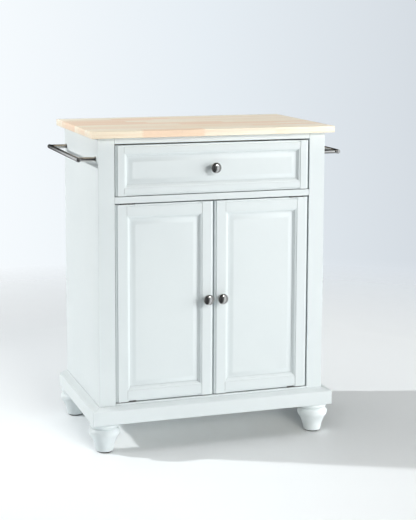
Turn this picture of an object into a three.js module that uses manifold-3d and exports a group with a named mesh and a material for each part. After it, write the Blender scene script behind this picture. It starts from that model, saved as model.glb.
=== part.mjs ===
// Butcher block table: a painted cabinet with a solid wood top, one drawer, two inset doors,
// a towel bar on each side and four turned feet.
// Millimetres, +Z up, +X to the right of someone facing the doors, -Y towards that person.
// The origin is at the middle of the footprint, on the floor.
import * as THREE from 'three';
import { mergeVertices } from 'three/addons/utils/BufferGeometryUtils.js';
import Module from 'manifold-3d';

const wasm = await Module();
wasm.setup();

// ---------------------------------------------------------------- driving dimensions

const tableHeight = 914;
const topLength = 718;
const topDepth = 457;
const topThickness = 19;
const topEase = 1.5;
const topOverhangFront = 22;
const topOverhangRear = 17;

const caseWidth = 675;
const caseBottomZ = 88;
const panelThickness = 16;
const backThickness = 5;
const faceThickness = 19;
const stileWidth = 47;
const bottomRailTopZ = 141.5;
const bottomPanelDrop = 3.5;  // the bottom rail stands this far above the cupboard's floor
const middleRailBottomZ = 711.5;
const middleRailTopZ = 730;
const topRailBottomZ = 877.5;

const mouldingReach = 24;
const mouldingFlatHeight = 40;
const mouldingHeight = 47.5;

const frontGap = 3;           // visible gap round the doors and the drawer front
const frontThickness = 19;
const edgeProfileWidth = 6;
const edgeProfileDepth = 3;
const doorStileFlat = 34;
const doorRailFlat = 33;
const drawerStileFlat = 26;
const drawerRailFlat = 20.5;
const stickingWidth = 11;
const stickingDepth = 8;
const stickingStep = 1;
const panelBevel = 12;

const hingeInset = 18;        // from the door's edge in to the hinge pin
const hingeSetback = 8;       // from the door's face back to the hinge pin

const knobDiameter = 31;
const knobProjection = 26;
const doorKnobX = 21.5;

const towelBarDiameter = 12.5;
const towelBarCrown = 1.2;
const towelBarStandoff = 50;
const towelBarZ = 835;
const towelBarFrontY = -190;
const towelBarRearY = 200;
const towelPostInset = 12;
const towelPostDiameter = 12;
const towelFlangeReach = 3;
const towelFlangeThickness = 3;

const footX = 319;
const footFrontY = -182;
const footRearY = 186;

const boxBottomZ = 745;
const boxSideTopZ = 855;
const boxSideThickness = 12;
const boxRearY = 166;
const boxFloorRise = 8;       // the box's floor above the bottom edge of its sides
const boxFloorThickness = 4;
const boxGroove = 5;
const boxBackDrop = 5;        // the box's back below the top edge of its sides

const slideZ = 768;
const slideSpace = 12.7;
const slideLength = 350;
const slideSheet = 1.2;
const rollerDiameter = 21;
const rollerWidth = 7;
const rollerEase = 1;
const axleDiameter = 4;
const frontRollerSetback = 14;
const rearRollerSetback = 12;
const slideTabReach = 24;
const runnerWebDrop = 6;      // the runner's web below its axle

const catchHalfWidth = 24;
const catchTopZ = 728;
const catchBottomZ = 695;
const catchDepth = 14;

const gap = 0.3;              // clearance between pieces that touch
const runningGap = 0.4;       // clearance round a pin or an axle that turns
const wellClear = 60;         // how far a cutting block reaches past what it cuts

// ---------------------------------------------------------------- derived places

const topUndersideZ = tableHeight - topThickness;
const caseTopZ = topUndersideZ - gap;
const depthOfCase = topDepth - topOverhangFront - topOverhangRear;
const knobProudOfTop = knobProjection - topOverhangFront;
const topFrontY = -(topDepth - knobProudOfTop) / 2;
const faceY = topFrontY + topOverhangFront;
const caseRearY = faceY + depthOfCase;
const faceBackY = faceY + faceThickness;
const innerFrontY = faceBackY + gap;
const backPanelFrontY = caseRearY - backThickness;
const innerRearY = backPanelFrontY - gap;
const sideX = caseWidth / 2;
const sideInnerX = sideX - panelThickness;
const innerX = sideInnerX - gap;
const openingX = sideX - stileWidth;
const doorWidth = openingX - frontGap * 1.5;
const doorHeight = middleRailBottomZ - bottomRailTopZ - frontGap * 2;
const doorCentreX = frontGap / 2 + doorWidth / 2;
const doorCentreZ = (middleRailBottomZ + bottomRailTopZ) / 2;
const drawerCentreZ = (middleRailTopZ + topRailBottomZ) / 2;

// ---------------------------------------------------------------- materials

function finish(color, roughness, metalness = 0) {
  return () => new THREE.MeshStandardMaterial({ color, roughness, metalness });
}

const whitePaint = finish(0xe9eef0, 0.45);
const blockWood = finish(0xe2cdb4, 0.5);
const drawerWood = finish(0xdcc7a2, 0.6);
const satinNickel = finish(0xa9a8a4, 0.3, 1);
const zincSteel = finish(0xb9bcc0, 0.4, 1);
const darkSteel = finish(0x4c4a48, 0.45, 1);
const nylon = finish(0xf0f0ea, 0.5);
const brownPlastic = finish(0x6a4f38, 0.55);

// ---------------------------------------------------------------- shape helpers

// A closed three.js geometry as a solid that can be joined and cut.
function toSolid(geometry) {
  const bare = geometry.clone();
  bare.deleteAttribute('normal');
  bare.deleteAttribute('uv');
  const merged = mergeVertices(bare, 1e-4);
  return new wasm.Manifold(new wasm.Mesh({
    numProp: 3,
    vertProperties: new Float32Array(merged.attributes.position.array),
    triVerts: new Uint32Array(merged.index.array),
  }));
}

function toGeometry(solid) {
  const mesh = solid.getMesh();
  const geometry = new THREE.BufferGeometry();
  geometry.setAttribute('position', new THREE.BufferAttribute(mesh.vertProperties, 3));
  geometry.setIndex(new THREE.BufferAttribute(mesh.triVerts, 1));
  geometry.computeVertexNormals();
  return geometry;
}

// A box between two values on each axis.
function block([x0, x1], [y0, y1], [z0, z1]) {
  const geometry = new THREE.BoxGeometry(x1 - x0, y1 - y0, z1 - z0);
  return geometry.translate((x0 + x1) / 2, (y0 + y1) / 2, (z0 + z1) / 2);
}

const X = new THREE.Vector3(1, 0, 0);
const Y = new THREE.Vector3(0, 1, 0);
const Z = new THREE.Vector3(0, 0, 1);
const sweepBasis = {
  x: new THREE.Matrix4().makeBasis(Y, Z, X),
  y: new THREE.Matrix4().makeBasis(Z, X, Y),
  z: new THREE.Matrix4(),
};

function rectangle(halfWidth, halfHeight) {
  return new THREE.Shape([
    new THREE.Vector2(-halfWidth, -halfHeight),
    new THREE.Vector2(halfWidth, -halfHeight),
    new THREE.Vector2(halfWidth, halfHeight),
    new THREE.Vector2(-halfWidth, halfHeight),
  ]);
}

// An outline swept from one place to another along an axis. The outline's points are
// (y, z) for a sweep along x, (z, x) along y and (x, y) along z.
function sweep(axis, [from, to], outline) {
  const shape = new THREE.Shape(outline.map(([u, v]) => new THREE.Vector2(u, v)));
  const geometry = new THREE.ExtrudeGeometry(shape, { depth: to - from, bevelEnabled: false });
  geometry.translate(0, 0, from);
  return geometry.applyMatrix4(sweepBasis[axis]);
}

// A solid of revolution whose axis is z. Profile points are (radius, height), lowest first.
function turned(profile, segments) {
  const points = profile.map(([r, h]) => new THREE.Vector2(r, h));
  return new THREE.LatheGeometry(points, segments).rotateX(Math.PI / 2);
}

// A rod of the given radius along one axis, between two places on it.
function rod(axis, [from, to], radius, segments) {
  const geometry = new THREE.CylinderGeometry(radius, radius, to - from, segments);
  geometry.rotateX(Math.PI / 2);
  geometry.translate(0, 0, (from + to) / 2);
  return geometry.applyMatrix4(sweepBasis[axis]);
}

// Points of a quarter-like curve between two corners, bulging away from the chord.
function roundedStep([u0, v0], [u1, v1], steps) {
  return Array.from({ length: steps + 1 }, (_, i) => {
    const angle = (Math.PI / 2) * (i / steps);
    return [u0 + (u1 - u0) * (1 - Math.cos(angle)), v0 + (v1 - v0) * Math.sin(angle)];
  });
}

const cabinet = new THREE.Group();
cabinet.name = 'butcher_block_table';

function add(parent, name, material, geometry, position = [0, 0, 0]) {
  const mesh = new THREE.Mesh(geometry, material());
  mesh.name = name;
  mesh.position.set(...position);
  parent.add(mesh);
}

// Left and right in the order in which someone facing the doors names them.
const sides = [['left', -1], ['right', 1]];

function ordered(a, b) {
  return a < b ? [a, b] : [b, a];
}

// ---------------------------------------------------------------- wood top

function woodTop() {
  const halfLength = topLength / 2 - topEase;
  const halfDepth = topDepth / 2 - topEase;
  const geometry = new THREE.ExtrudeGeometry(rectangle(halfLength, halfDepth), {
    depth: topThickness - topEase * 2,
    bevelThickness: topEase,
    bevelSize: topEase,
    bevelSegments: 2,
  });
  return geometry.translate(0, 0, topEase);
}

add(cabinet, 'butcher_block_top', blockWood, woodTop(),
  [0, topFrontY + topDepth / 2, topUndersideZ]);

// ---------------------------------------------------------------- case

for (const [side, sign] of sides) {
  add(cabinet, `side_panel_${side}`, whitePaint,
    block(ordered(sign * sideInnerX, sign * sideX), [innerFrontY, caseRearY], [caseBottomZ, caseTopZ]));
  add(cabinet, `face_stile_${side}`, whitePaint,
    block(ordered(sign * openingX, sign * sideX), [faceY, faceBackY], [caseBottomZ, caseTopZ]));
}

const bottomPanelTopZ = bottomRailTopZ - bottomPanelDrop;
add(cabinet, 'back_panel', whitePaint,
  block([-innerX, innerX], [backPanelFrontY, caseRearY], [caseBottomZ, caseTopZ]));
add(cabinet, 'bottom_panel', whitePaint,
  block([-innerX, innerX], [innerFrontY, innerRearY], [bottomPanelTopZ - panelThickness, bottomPanelTopZ]));

const shelfZ = 418;
const shelfThickness = 15;
const shelfEndClearance = 2;
const shelfSetback = 24;      // keeps the doors' hinge edges clear as they swing in
add(cabinet, 'adjustable_shelf', whitePaint,
  block([shelfEndClearance - innerX, innerX - shelfEndClearance],
    [innerFrontY + shelfSetback, innerRearY - shelfEndClearance],
    [shelfZ, shelfZ + shelfThickness]));

const stretcherThickness = 18;
const stretcherHeight = 60;
add(cabinet, 'rear_top_stretcher', whitePaint,
  block([-innerX, innerX], [innerRearY - stretcherThickness, innerRearY],
    [caseTopZ - stretcherHeight, caseTopZ]));

// ---------------------------------------------------------------- hinge places

const hingeX = openingX - frontGap - hingeInset;
const hingeY = faceY + hingeSetback;
const hingeLeafHalfWidth = 5;
const hingePocketClearance = 0.5;
const hingePocketMouth = 4;   // how far a pocket's cut runs out of the wood
const hingeLeafLength = 34;   // from the pin to the last screw
const hingeMortise = 1.6;
const doorLeafProud = 0.8;
const caseLeafProud = 1.2;
const hingePinRadius = 3;
const hingePinRoot = 0.5;     // the pin starts this far inside the door's leaf

// A pocket for a hinge leaf, cut in a horizontal edge at height z. It reaches the mortise's
// depth into the wood and well out of it on the open side.
function hingePocket(sign, z, intoWood) {
  const reach = hingeLeafHalfWidth + hingePocketClearance;
  const [x0, x1] = ordered(sign * (hingeX + reach), sign * (hingeX - hingeLeafLength - reach));
  return block([x0, x1], [hingeY - reach, hingeY + reach],
    ordered(z + intoWood * hingeMortise, z - intoWood * hingePocketMouth));
}

function railWithPockets(zRange, pocketZ, intoWood) {
  let rail = toSolid(block([gap - openingX, openingX - gap], [faceY, faceBackY], zRange));
  for (const [, sign] of sides) {
    rail = rail.subtract(toSolid(hingePocket(sign, pocketZ, intoWood)));
  }
  return toGeometry(rail);
}

add(cabinet, 'face_top_rail', whitePaint,
  block([gap - openingX, openingX - gap], [faceY, faceBackY], [topRailBottomZ, caseTopZ]));
add(cabinet, 'face_middle_rail', whitePaint,
  railWithPockets([middleRailBottomZ, middleRailTopZ], middleRailBottomZ, 1));
add(cabinet, 'face_bottom_rail', whitePaint,
  railWithPockets([caseBottomZ, bottomRailTopZ], bottomRailTopZ, -1));

// ---------------------------------------------------------------- base moulding

// Points (reach out from the case, height above the case's underside) of the moulding: a flat
// board with eased corners, a narrow step and a cove that runs up to a square top edge.
const mouldingEase = 1;
const mouldingStep = 4;
const mouldingTopEdge = 4;
const mouldingCoveEnds = 1.2;
const mouldingProfile = [
  [0, 0],
  [mouldingReach - mouldingEase, 0],
  [mouldingReach, mouldingEase],
  [mouldingReach, mouldingFlatHeight - mouldingEase],
  [mouldingReach - mouldingEase, mouldingFlatHeight],
  [mouldingReach - mouldingStep, mouldingFlatHeight + 0.8],
  ...roundedStep([mouldingReach - mouldingStep - 1, mouldingFlatHeight + mouldingCoveEnds],
    [mouldingTopEdge, mouldingHeight - mouldingCoveEnds], 4),
  [mouldingTopEdge, mouldingHeight],
  [0, mouldingHeight],
];
const mitreGap = gap * 0.7;   // each length stops this far short of the mitre

function frontMoulding() {
  const backY = faceY - gap;
  const geometry = sweep('x', [-1, 1], mouldingProfile.map(([out, up]) => [-out, up]));
  const points = geometry.attributes.position;
  for (let i = 0; i < points.count; i += 1) {
    points.setX(i, points.getX(i) * (sideX + gap - points.getY(i) - mitreGap));
  }
  return geometry.translate(0, backY, caseBottomZ);
}

function sideMoulding(sign) {
  const outline = mouldingProfile.map(([out, up]) => [up, sign * out]);
  const geometry = sweep('y', [0, 1], outline);
  const points = geometry.attributes.position;
  for (let i = 0; i < points.count; i += 1) {
    const mitredY = faceY - gap - Math.abs(points.getX(i)) + mitreGap;
    points.setY(i, points.getY(i) > 0.5 ? caseRearY : mitredY);
  }
  return geometry.translate(sign * (sideX + gap), 0, caseBottomZ);
}

add(cabinet, 'base_moulding_front', whitePaint, frontMoulding());
for (const [side, sign] of sides) {
  add(cabinet, `base_moulding_${side}`, whitePaint, sideMoulding(sign));
}

// ---------------------------------------------------------------- turned feet

// From the floor up: a thin glide, a tapered shaft that swells to a ball, a neck and a ring.
const footHeight = caseBottomZ - gap;
const footProfile = [
  [0, 0], [21.5, 0], [22.5, 1], [22.5, 4], [25, 4.4], [26, 8], [27.2, 16], [30, 27], [34.5, 38],
  [40, 47], [43.5, 54], [44, 60], [41.5, 66], [37.5, 69.5], [36.5, 71.5], [39.5, 74], [42, 78.5],
  [42, 83], [39.5, footHeight], [0, footHeight],
];

for (const [side, sign] of sides) {
  for (const [end, y] of [['front', footFrontY], ['rear', footRearY]]) {
    add(cabinet, `foot_${end}_${side}`, whitePaint, turned(footProfile, 28), [sign * footX, y, 0]);
  }
}

// ---------------------------------------------------------------- towel bars

const towelBarX = sideX + towelBarStandoff;
const barRadius = towelBarDiameter / 2;
const postRadius = towelPostDiameter / 2;
const barSegments = 20;

function towelBar(length) {
  const endRadius = barRadius - towelBarCrown;
  const profile = [[0, 0], [endRadius, 0], [barRadius, towelBarCrown],
    [barRadius, length - towelBarCrown], [endRadius, length], [0, length]];
  return turned(profile, barSegments).rotateX(-Math.PI / 2);
}

// A post from the side panel to the bar, with its end hollowed to fit the bar.
function towelPost(sign) {
  const foot = sign * (sideX + gap);
  const shaft = rod('x', ordered(foot, sign * towelBarX), postRadius, barSegments);
  const flange = rod('x', ordered(foot, foot + sign * towelFlangeThickness),
    postRadius + towelFlangeReach, barSegments);
  const bar = rod('y', [-towelPostDiameter, towelPostDiameter], barRadius + gap, barSegments);
  bar.translate(sign * towelBarX, 0, 0);
  return toGeometry(toSolid(shaft).add(toSolid(flange)).subtract(toSolid(bar)));
}

for (const [side, sign] of sides) {
  add(cabinet, `towel_bar_${side}`, satinNickel, towelBar(towelBarRearY - towelBarFrontY),
    [sign * towelBarX, towelBarFrontY, towelBarZ]);
  add(cabinet, `towel_post_front_${side}`, satinNickel, towelPost(sign),
    [0, towelBarFrontY + towelPostInset, towelBarZ]);
  add(cabinet, `towel_post_rear_${side}`, satinNickel, towelPost(sign),
    [0, towelBarRearY - towelPostInset, towelBarZ]);
}

// ---------------------------------------------------------------- knobs

const knobRadius = knobDiameter / 2;
const knobHeight = knobProjection - gap;
// From the door out: a round base, a waisted neck and a domed head.
const knobProfile = [
  [0, 0], [8.5, 0], [9, 1.2], [7, 3.2], [5.8, 6.5], [6, 10], [8, 13.5], [12.5, 15.5],
  [knobRadius, 18.2], [knobRadius, 20.2], [13.5, 23], [8, 25.2], [0, knobHeight],
];

// A knob whose base stands on a face at y, with its axis pointing at the user.
function addKnob(parent, name, [x, y, z]) {
  add(parent, name, satinNickel, turned(knobProfile, 24).rotateX(Math.PI / 2), [x, y - gap, z]);
}

// ---------------------------------------------------------------- doors

// Cross-section of a door stile or rail. Points are (distance in from the door's outer edge,
// depth behind the door's face).
const grooveDepth = 8;
const grooveFront = 9.4;
const grooveBack = 14.6;
function frameSection(flat) {
  const inner = flat + stickingWidth;
  return [
    [0, frontThickness],
    ...roundedStep([0, edgeProfileDepth], [edgeProfileWidth, 0], 3),
    [flat, 0],
    ...roundedStep([inner, stickingDepth], [flat, stickingStep], 4).reverse(),
    [inner, grooveFront],
    [inner - grooveDepth, grooveFront],
    [inner - grooveDepth, grooveBack],
    [inner, grooveBack],
    [inner, frontThickness],
  ];
}

// Everything in a door is made round the middle of its face, with y running into the cabinet.
// Edge +1 is the stile at +x.
function doorStile(edge) {
  const section = frameSection(doorStileFlat).map(([inward, depth]) =>
    [edge * (doorWidth / 2 - inward), depth]);
  return sweep('z', [-doorHeight / 2, doorHeight / 2], section);
}

// A rail runs between the stiles' flats. Its ends are cut to the stiles' moulded edges, which
// leaves a stub tenon in each stile's groove.
function doorRail(edge) {
  const section = frameSection(doorRailFlat).map(([inward, depth]) =>
    [depth, edge * (doorHeight / 2 - inward)]);
  const reach = doorWidth / 2 - doorStileFlat - gap;
  let rail = toSolid(sweep('x', [-reach, reach], section));
  for (const stileEdge of [-1, 1]) {
    for (const shift of [-gap, 0, gap]) {
      const cutter = doorStile(stileEdge).translate(-stileEdge * gap, shift, 0);
      rail = rail.subtract(toSolid(cutter));
    }
  }
  return toGeometry(rail);
}

// A block whose front edges slope back on all four sides, as a raised field does.
function raisedField(halfWidth, halfHeight, slope, rise, depth) {
  const geometry = new THREE.ExtrudeGeometry(rectangle(halfWidth, halfHeight), {
    depth, bevelSize: slope, bevelThickness: rise, bevelSegments: 1,
  });
  return geometry.rotateX(Math.PI / 2).translate(0, rise + depth, 0);
}

const fieldSetback = 2.5;     // the field's face behind the frame's face
const fieldLand = 2;          // flat strip between the frame and the slope
const tongueEndGap = 1;       // room for the panel to swell in its groove
const fieldRoot = 1;          // how far the raised field runs into the panel's slab
const tongueFront = grooveFront + gap;
const tongueBack = grooveBack - gap;

function doorPanel() {
  const openingWidth = doorWidth - (doorStileFlat + stickingWidth) * 2;
  const openingHeight = doorHeight - (doorRailFlat + stickingWidth) * 2;
  const tongue = grooveDepth - tongueEndGap;
  const halfWidth = openingWidth / 2 + tongue;
  const halfHeight = openingHeight / 2 + tongue;
  const slab = block([-halfWidth, halfWidth], [tongueFront, tongueBack], [-halfHeight, halfHeight]);
  const rise = tongueFront - fieldSetback;
  const field = raisedField(openingWidth / 2 - fieldLand - panelBevel,
    openingHeight / 2 - fieldLand - panelBevel, panelBevel, rise, fieldRoot);
  const behind = block([-halfWidth, halfWidth], [tongueFront + fieldRoot, wellClear],
    [-halfHeight, halfHeight]);
  const trimmed = toSolid(field.translate(0, fieldSetback, 0)).subtract(toSolid(behind));
  return toGeometry(toSolid(slab).add(trimmed));
}

// A flat hinge leaf with round ends. The pin is at the origin and the leaf runs towards -x.
// The leaf fixed to the case has a hole for the pin that the door's leaf carries.
function hingeLeaf(thickness, holeRadius) {
  const shape = new THREE.Shape();
  shape.absarc(0, 0, hingeLeafHalfWidth, -Math.PI / 2, Math.PI / 2);
  shape.absarc(-hingeLeafLength, 0, hingeLeafHalfWidth, Math.PI / 2, Math.PI * 1.5);
  if (holeRadius > 0) {
    shape.holes.push(new THREE.Path().absarc(0, 0, holeRadius, 0, Math.PI * 2));
  }
  return new THREE.ExtrudeGeometry(shape, {
    depth: thickness, bevelEnabled: false, curveSegments: 10,
  });
}

// One hinge between a door's end and the rail beyond it. Up is +1 at the door's top.
function addHinge(door, name, sign, up) {
  const doorEndZ = doorCentreZ + up * (doorHeight / 2);
  const railZ = doorEndZ + up * frontGap;
  const doorLeafInner = doorEndZ - up * (hingeMortise - gap);
  const doorLeafOuter = doorEndZ + up * doorLeafProud;
  const caseLeafInner = railZ - up * caseLeafProud;
  const caseLeafOuter = railZ + up * (hingeMortise - gap);
  const caseLeafThickness = Math.abs(caseLeafOuter - caseLeafInner);
  const doorLeafThickness = Math.abs(doorLeafOuter - doorLeafInner);
  const pinRange = ordered(doorLeafInner + up * hingePinRoot, caseLeafOuter - up * gap);

  const caseLeaf = new THREE.Group();
  caseLeaf.position.set(sign * hingeX, hingeY, Math.min(caseLeafInner, caseLeafOuter));
  caseLeaf.rotation.z = sign > 0 ? 0 : Math.PI;
  add(caseLeaf, `hinge_case_leaf_${name}`, darkSteel,
    hingeLeaf(caseLeafThickness, hingePinRadius + runningGap));
  cabinet.add(caseLeaf);

  const doorLeafZ = Math.min(doorLeafInner, doorLeafOuter);
  const doorLeaf = new THREE.Group();
  doorLeaf.position.set(sign * hingeX, hingeY, doorLeafZ).sub(door.position);
  doorLeaf.rotation.z = sign > 0 ? 0 : Math.PI;
  const pin = rod('z', pinRange.map((z) => z - doorLeafZ), hingePinRadius, 24);
  const leafWithPin = toSolid(hingeLeaf(doorLeafThickness, 0)).add(toSolid(pin));
  add(doorLeaf, `hinge_door_leaf_${name}`, darkSteel, toGeometry(leafWithPin));
  door.add(doorLeaf);
}

// The stiles lose a pocket at each hinge; the case's hinge places are given in the door's frame.
function doorStileWithPockets(door, sign) {
  let stile = toSolid(doorStile(sign));
  for (const up of [-1, 1]) {
    const endZ = doorCentreZ + up * (doorHeight / 2);
    const pocket = hingePocket(sign, endZ, -up);
    pocket.translate(-door.position.x, -door.position.y, -door.position.z);
    stile = stile.subtract(toSolid(pocket));
  }
  return toGeometry(stile);
}

function doorRailWithPocket(door, sign, up) {
  const pocket = hingePocket(sign, doorCentreZ + up * (doorHeight / 2), -up);
  pocket.translate(-door.position.x, -door.position.y, -door.position.z);
  return toGeometry(toSolid(doorRail(up)).subtract(toSolid(pocket)));
}

for (const [side, sign] of sides) {
  const door = new THREE.Group();
  door.position.set(sign * doorCentreX, faceY, doorCentreZ);
  cabinet.add(door);
  add(door, `${side}_door_hinge_stile`, whitePaint, doorStileWithPockets(door, sign));
  add(door, `${side}_door_latch_stile`, whitePaint, doorStile(-sign));
  add(door, `${side}_door_top_rail`, whitePaint, doorRailWithPocket(door, sign, 1));
  add(door, `${side}_door_bottom_rail`, whitePaint, doorRailWithPocket(door, sign, -1));
  add(door, `${side}_door_panel`, whitePaint, doorPanel());
  addKnob(door, `${side}_door_knob`, [sign * (doorKnobX - doorCentreX), 0, 0]);
  addHinge(door, `${side}_upper`, sign, 1);
  addHinge(door, `${side}_lower`, sign, -1);
}

// ---------------------------------------------------------------- magnetic catch

// Screwed behind the middle rail; the lower part is the magnet that the doors close on.
const catchFaceY = faceY + frontThickness + 0.5;
const catchShoulderZ = middleRailBottomZ - 1.5;
const catchChamfer = 6;
const catchProfile = [
  [innerFrontY, catchTopZ],
  [innerFrontY, catchShoulderZ],
  [catchFaceY, catchShoulderZ - 1],
  [catchFaceY, catchBottomZ],
  [faceBackY + catchDepth, catchBottomZ],
  [faceBackY + catchDepth, catchTopZ - catchChamfer],
  [faceBackY + catchDepth - catchChamfer, catchTopZ],
];
add(cabinet, 'magnetic_catch', brownPlastic,
  sweep('x', [-catchHalfWidth, catchHalfWidth], catchProfile));

// ---------------------------------------------------------------- drawer

const drawer = new THREE.Group();
drawer.position.set(0, faceY, drawerCentreZ);
cabinet.add(drawer);

const drawerHalfWidth = openingX - frontGap;
const drawerHalfHeight = (topRailBottomZ - middleRailTopZ) / 2 - frontGap;

function drawerFront() {
  const edge = edgeProfileWidth;
  const outer = raisedField(drawerHalfWidth - edge, drawerHalfHeight - edge, edge, edgeProfileDepth,
    frontThickness);
  const backCut = block([-openingX, openingX], [frontThickness, wellClear],
    [-drawerHalfHeight - wellClear, drawerHalfHeight + wellClear]);
  const openingHalfWidth = drawerHalfWidth - drawerStileFlat;
  const openingHalfHeight = drawerHalfHeight - drawerRailFlat;
  const pocket = raisedField(openingHalfWidth - stickingWidth, openingHalfHeight - stickingWidth,
    stickingWidth, stickingDepth, stickingDepth);
  const innerWidth = openingHalfWidth - stickingWidth - fieldLand - panelBevel;
  const innerHeight = openingHalfHeight - stickingWidth - fieldLand - panelBevel;
  const rise = stickingDepth - fieldSetback;
  const field = raisedField(innerWidth, innerHeight, panelBevel, rise, edgeProfileDepth);
  pocket.rotateX(Math.PI).translate(0, stickingDepth, 0);
  const front = toSolid(outer).subtract(toSolid(backCut)).subtract(toSolid(pocket));
  return toGeometry(front.add(toSolid(field.translate(0, fieldSetback, 0))));
}

const boxOuterX = openingX - slideSpace;
const boxInnerX = boxOuterX - boxSideThickness;
const boxFrontY = faceY + frontThickness + gap;
const boxFloorZ = boxBottomZ + boxFloorRise;

// A side of the drawer box: a board with a groove for the box's floor.
function drawerSide(sign) {
  const grooveX = boxInnerX + boxGroove;
  const section = [
    [boxBottomZ, boxInnerX], [boxFloorZ - gap, boxInnerX], [boxFloorZ - gap, grooveX],
    [boxFloorZ + boxFloorThickness + gap, grooveX], [boxFloorZ + boxFloorThickness + gap, boxInnerX],
    [boxSideTopZ, boxInnerX], [boxSideTopZ, boxOuterX], [boxBottomZ, boxOuterX],
  ].map(([z, x]) => [z - drawerCentreZ, sign * x]);
  return sweep('y', [boxFrontY - faceY, boxRearY - faceY], section);
}

add(drawer, 'drawer_front', whitePaint, drawerFront());
addKnob(drawer, 'drawer_knob', [0, fieldSetback, 0]);
for (const [side, sign] of sides) {
  add(drawer, `drawer_side_${side}`, drawerWood, drawerSide(sign));
}
add(drawer, 'drawer_back', drawerWood,
  block([gap - boxInnerX, boxInnerX - gap], [boxRearY - boxSideThickness - faceY, boxRearY - faceY],
    [boxFloorZ + boxFloorThickness + gap - drawerCentreZ, boxSideTopZ - boxBackDrop - drawerCentreZ]));
add(drawer, 'drawer_bottom', drawerWood,
  block([gap - boxInnerX - boxGroove, boxInnerX + boxGroove - gap],
    [boxFrontY - faceY, boxRearY - faceY],
    [boxFloorZ - drawerCentreZ, boxFloorZ + boxFloorThickness - drawerCentreZ]));

// ---------------------------------------------------------------- drawer slides

const rollerRadius = rollerDiameter / 2;
const axleRadius = axleDiameter / 2;
const slideSideGap = 0.6;     // between the runner's web and the channel's lips
const slideTopGap = 1;        // between the runner's flange and the channel's ceiling
const channelOuterX = openingX - gap;
const channelWebX = channelOuterX - slideSheet;
const runnerInnerX = boxOuterX + gap;
const runnerWebX = runnerInnerX + slideSheet;
const runnerFlangeX = channelWebX - slideSheet;
const channelInnerX = runnerWebX + slideSideGap;
const trackFloor = -rollerRadius - gap;
const flangeUnder = rollerRadius + gap;
const channelCeiling = flangeUnder + slideSheet + slideTopGap;
const runnerFrontY = boxFrontY + 0.5;
const runnerRearY = runnerFrontY + slideLength;
const frontRollerY = innerFrontY + frontRollerSetback;
const rearRollerY = runnerRearY - rearRollerSetback;

const axleSegments = 16;
const axleEndGap = 1;         // between the rear axle's end and the channel's web

// The channel fixed behind the face frame: a C open towards the drawer, an axle for the front
// roller and a tab at each end that is screwed to the face frame and to the back.
function slideChannel(sign) {
  const section = [
    [trackFloor - slideSheet, channelInnerX],
    [trackFloor, channelInnerX],
    [trackFloor, channelWebX],
    [channelCeiling, channelWebX],
    [channelCeiling, channelInnerX],
    [channelCeiling + slideSheet, channelInnerX],
    [channelCeiling + slideSheet, channelOuterX],
    [trackFloor - slideSheet, channelOuterX],
  ].map(([z, x]) => [z, sign * x]);
  let channel = toSolid(sweep('y', [innerFrontY, innerRearY], section));
  const axleRange = ordered(sign * (channelInnerX + runningGap), sign * (channelOuterX - gap));
  const axle = rod('x', axleRange, axleRadius, axleSegments).translate(0, frontRollerY, 0);
  channel = channel.add(toSolid(axle));
  for (const tabY of [innerFrontY, innerRearY - slideSheet]) {
    const tab = block(ordered(sign * channelWebX, sign * (channelWebX + slideTabReach)),
      [tabY, tabY + slideSheet], [trackFloor, channelCeiling]);
    channel = channel.add(toSolid(tab));
  }
  return toGeometry(channel);
}

// The runner screwed to the drawer's side: an angle that lies on the front roller, with the
// rear roller's axle.
function slideRunner(sign) {
  const section = [
    [-runnerWebDrop, runnerInnerX],
    [flangeUnder + slideSheet, runnerInnerX],
    [flangeUnder + slideSheet, runnerFlangeX],
    [flangeUnder, runnerFlangeX],
    [flangeUnder, runnerWebX],
    [-runnerWebDrop, runnerWebX],
  ].map(([z, x]) => [z, sign * x]);
  const angle = toSolid(sweep('y', [runnerFrontY, runnerRearY], section));
  const axleRange = ordered(sign * (runnerInnerX + gap), sign * (channelWebX - axleEndGap));
  const axle = rod('x', axleRange, axleRadius, axleSegments).translate(0, rearRollerY, 0);
  return toGeometry(angle.add(toSolid(axle)));
}

function roller() {
  const half = rollerWidth / 2;
  const bore = axleRadius + runningGap;
  return turned([
    [bore, -half],
    [rollerRadius - rollerEase, -half],
    [rollerRadius, rollerEase - half],
    [rollerRadius, half - rollerEase],
    [rollerRadius - rollerEase, half],
    [bore, half],
    [bore, -half],
  ], 24).rotateY(Math.PI / 2);
}

for (const [side, sign] of sides) {
  const rollerX = sign * (runnerWebX + channelWebX) / 2;
  add(cabinet, `slide_channel_${side}`, zincSteel, slideChannel(sign), [0, 0, slideZ]);
  add(cabinet, `slide_front_roller_${side}`, nylon, roller(), [rollerX, frontRollerY, slideZ]);
  add(drawer, `slide_runner_${side}`, zincSteel, slideRunner(sign),
    [0, -faceY, slideZ - drawerCentreZ]);
  add(drawer, `slide_rear_roller_${side}`, nylon, roller(),
    [rollerX, rearRollerY - faceY, slideZ - drawerCentreZ]);
}

export default cabinet;
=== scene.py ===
# Looks for the butcher block table: a white painted cabinet with a wood top, a drawer over a
# pair of panelled doors, a towel bar on each side and four turned feet.
# Metres, +Z up, +X to the right of someone facing the doors, -Y towards that person.
import math
import random

import bmesh
import bpy
from mathutils import Matrix, Vector


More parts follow.
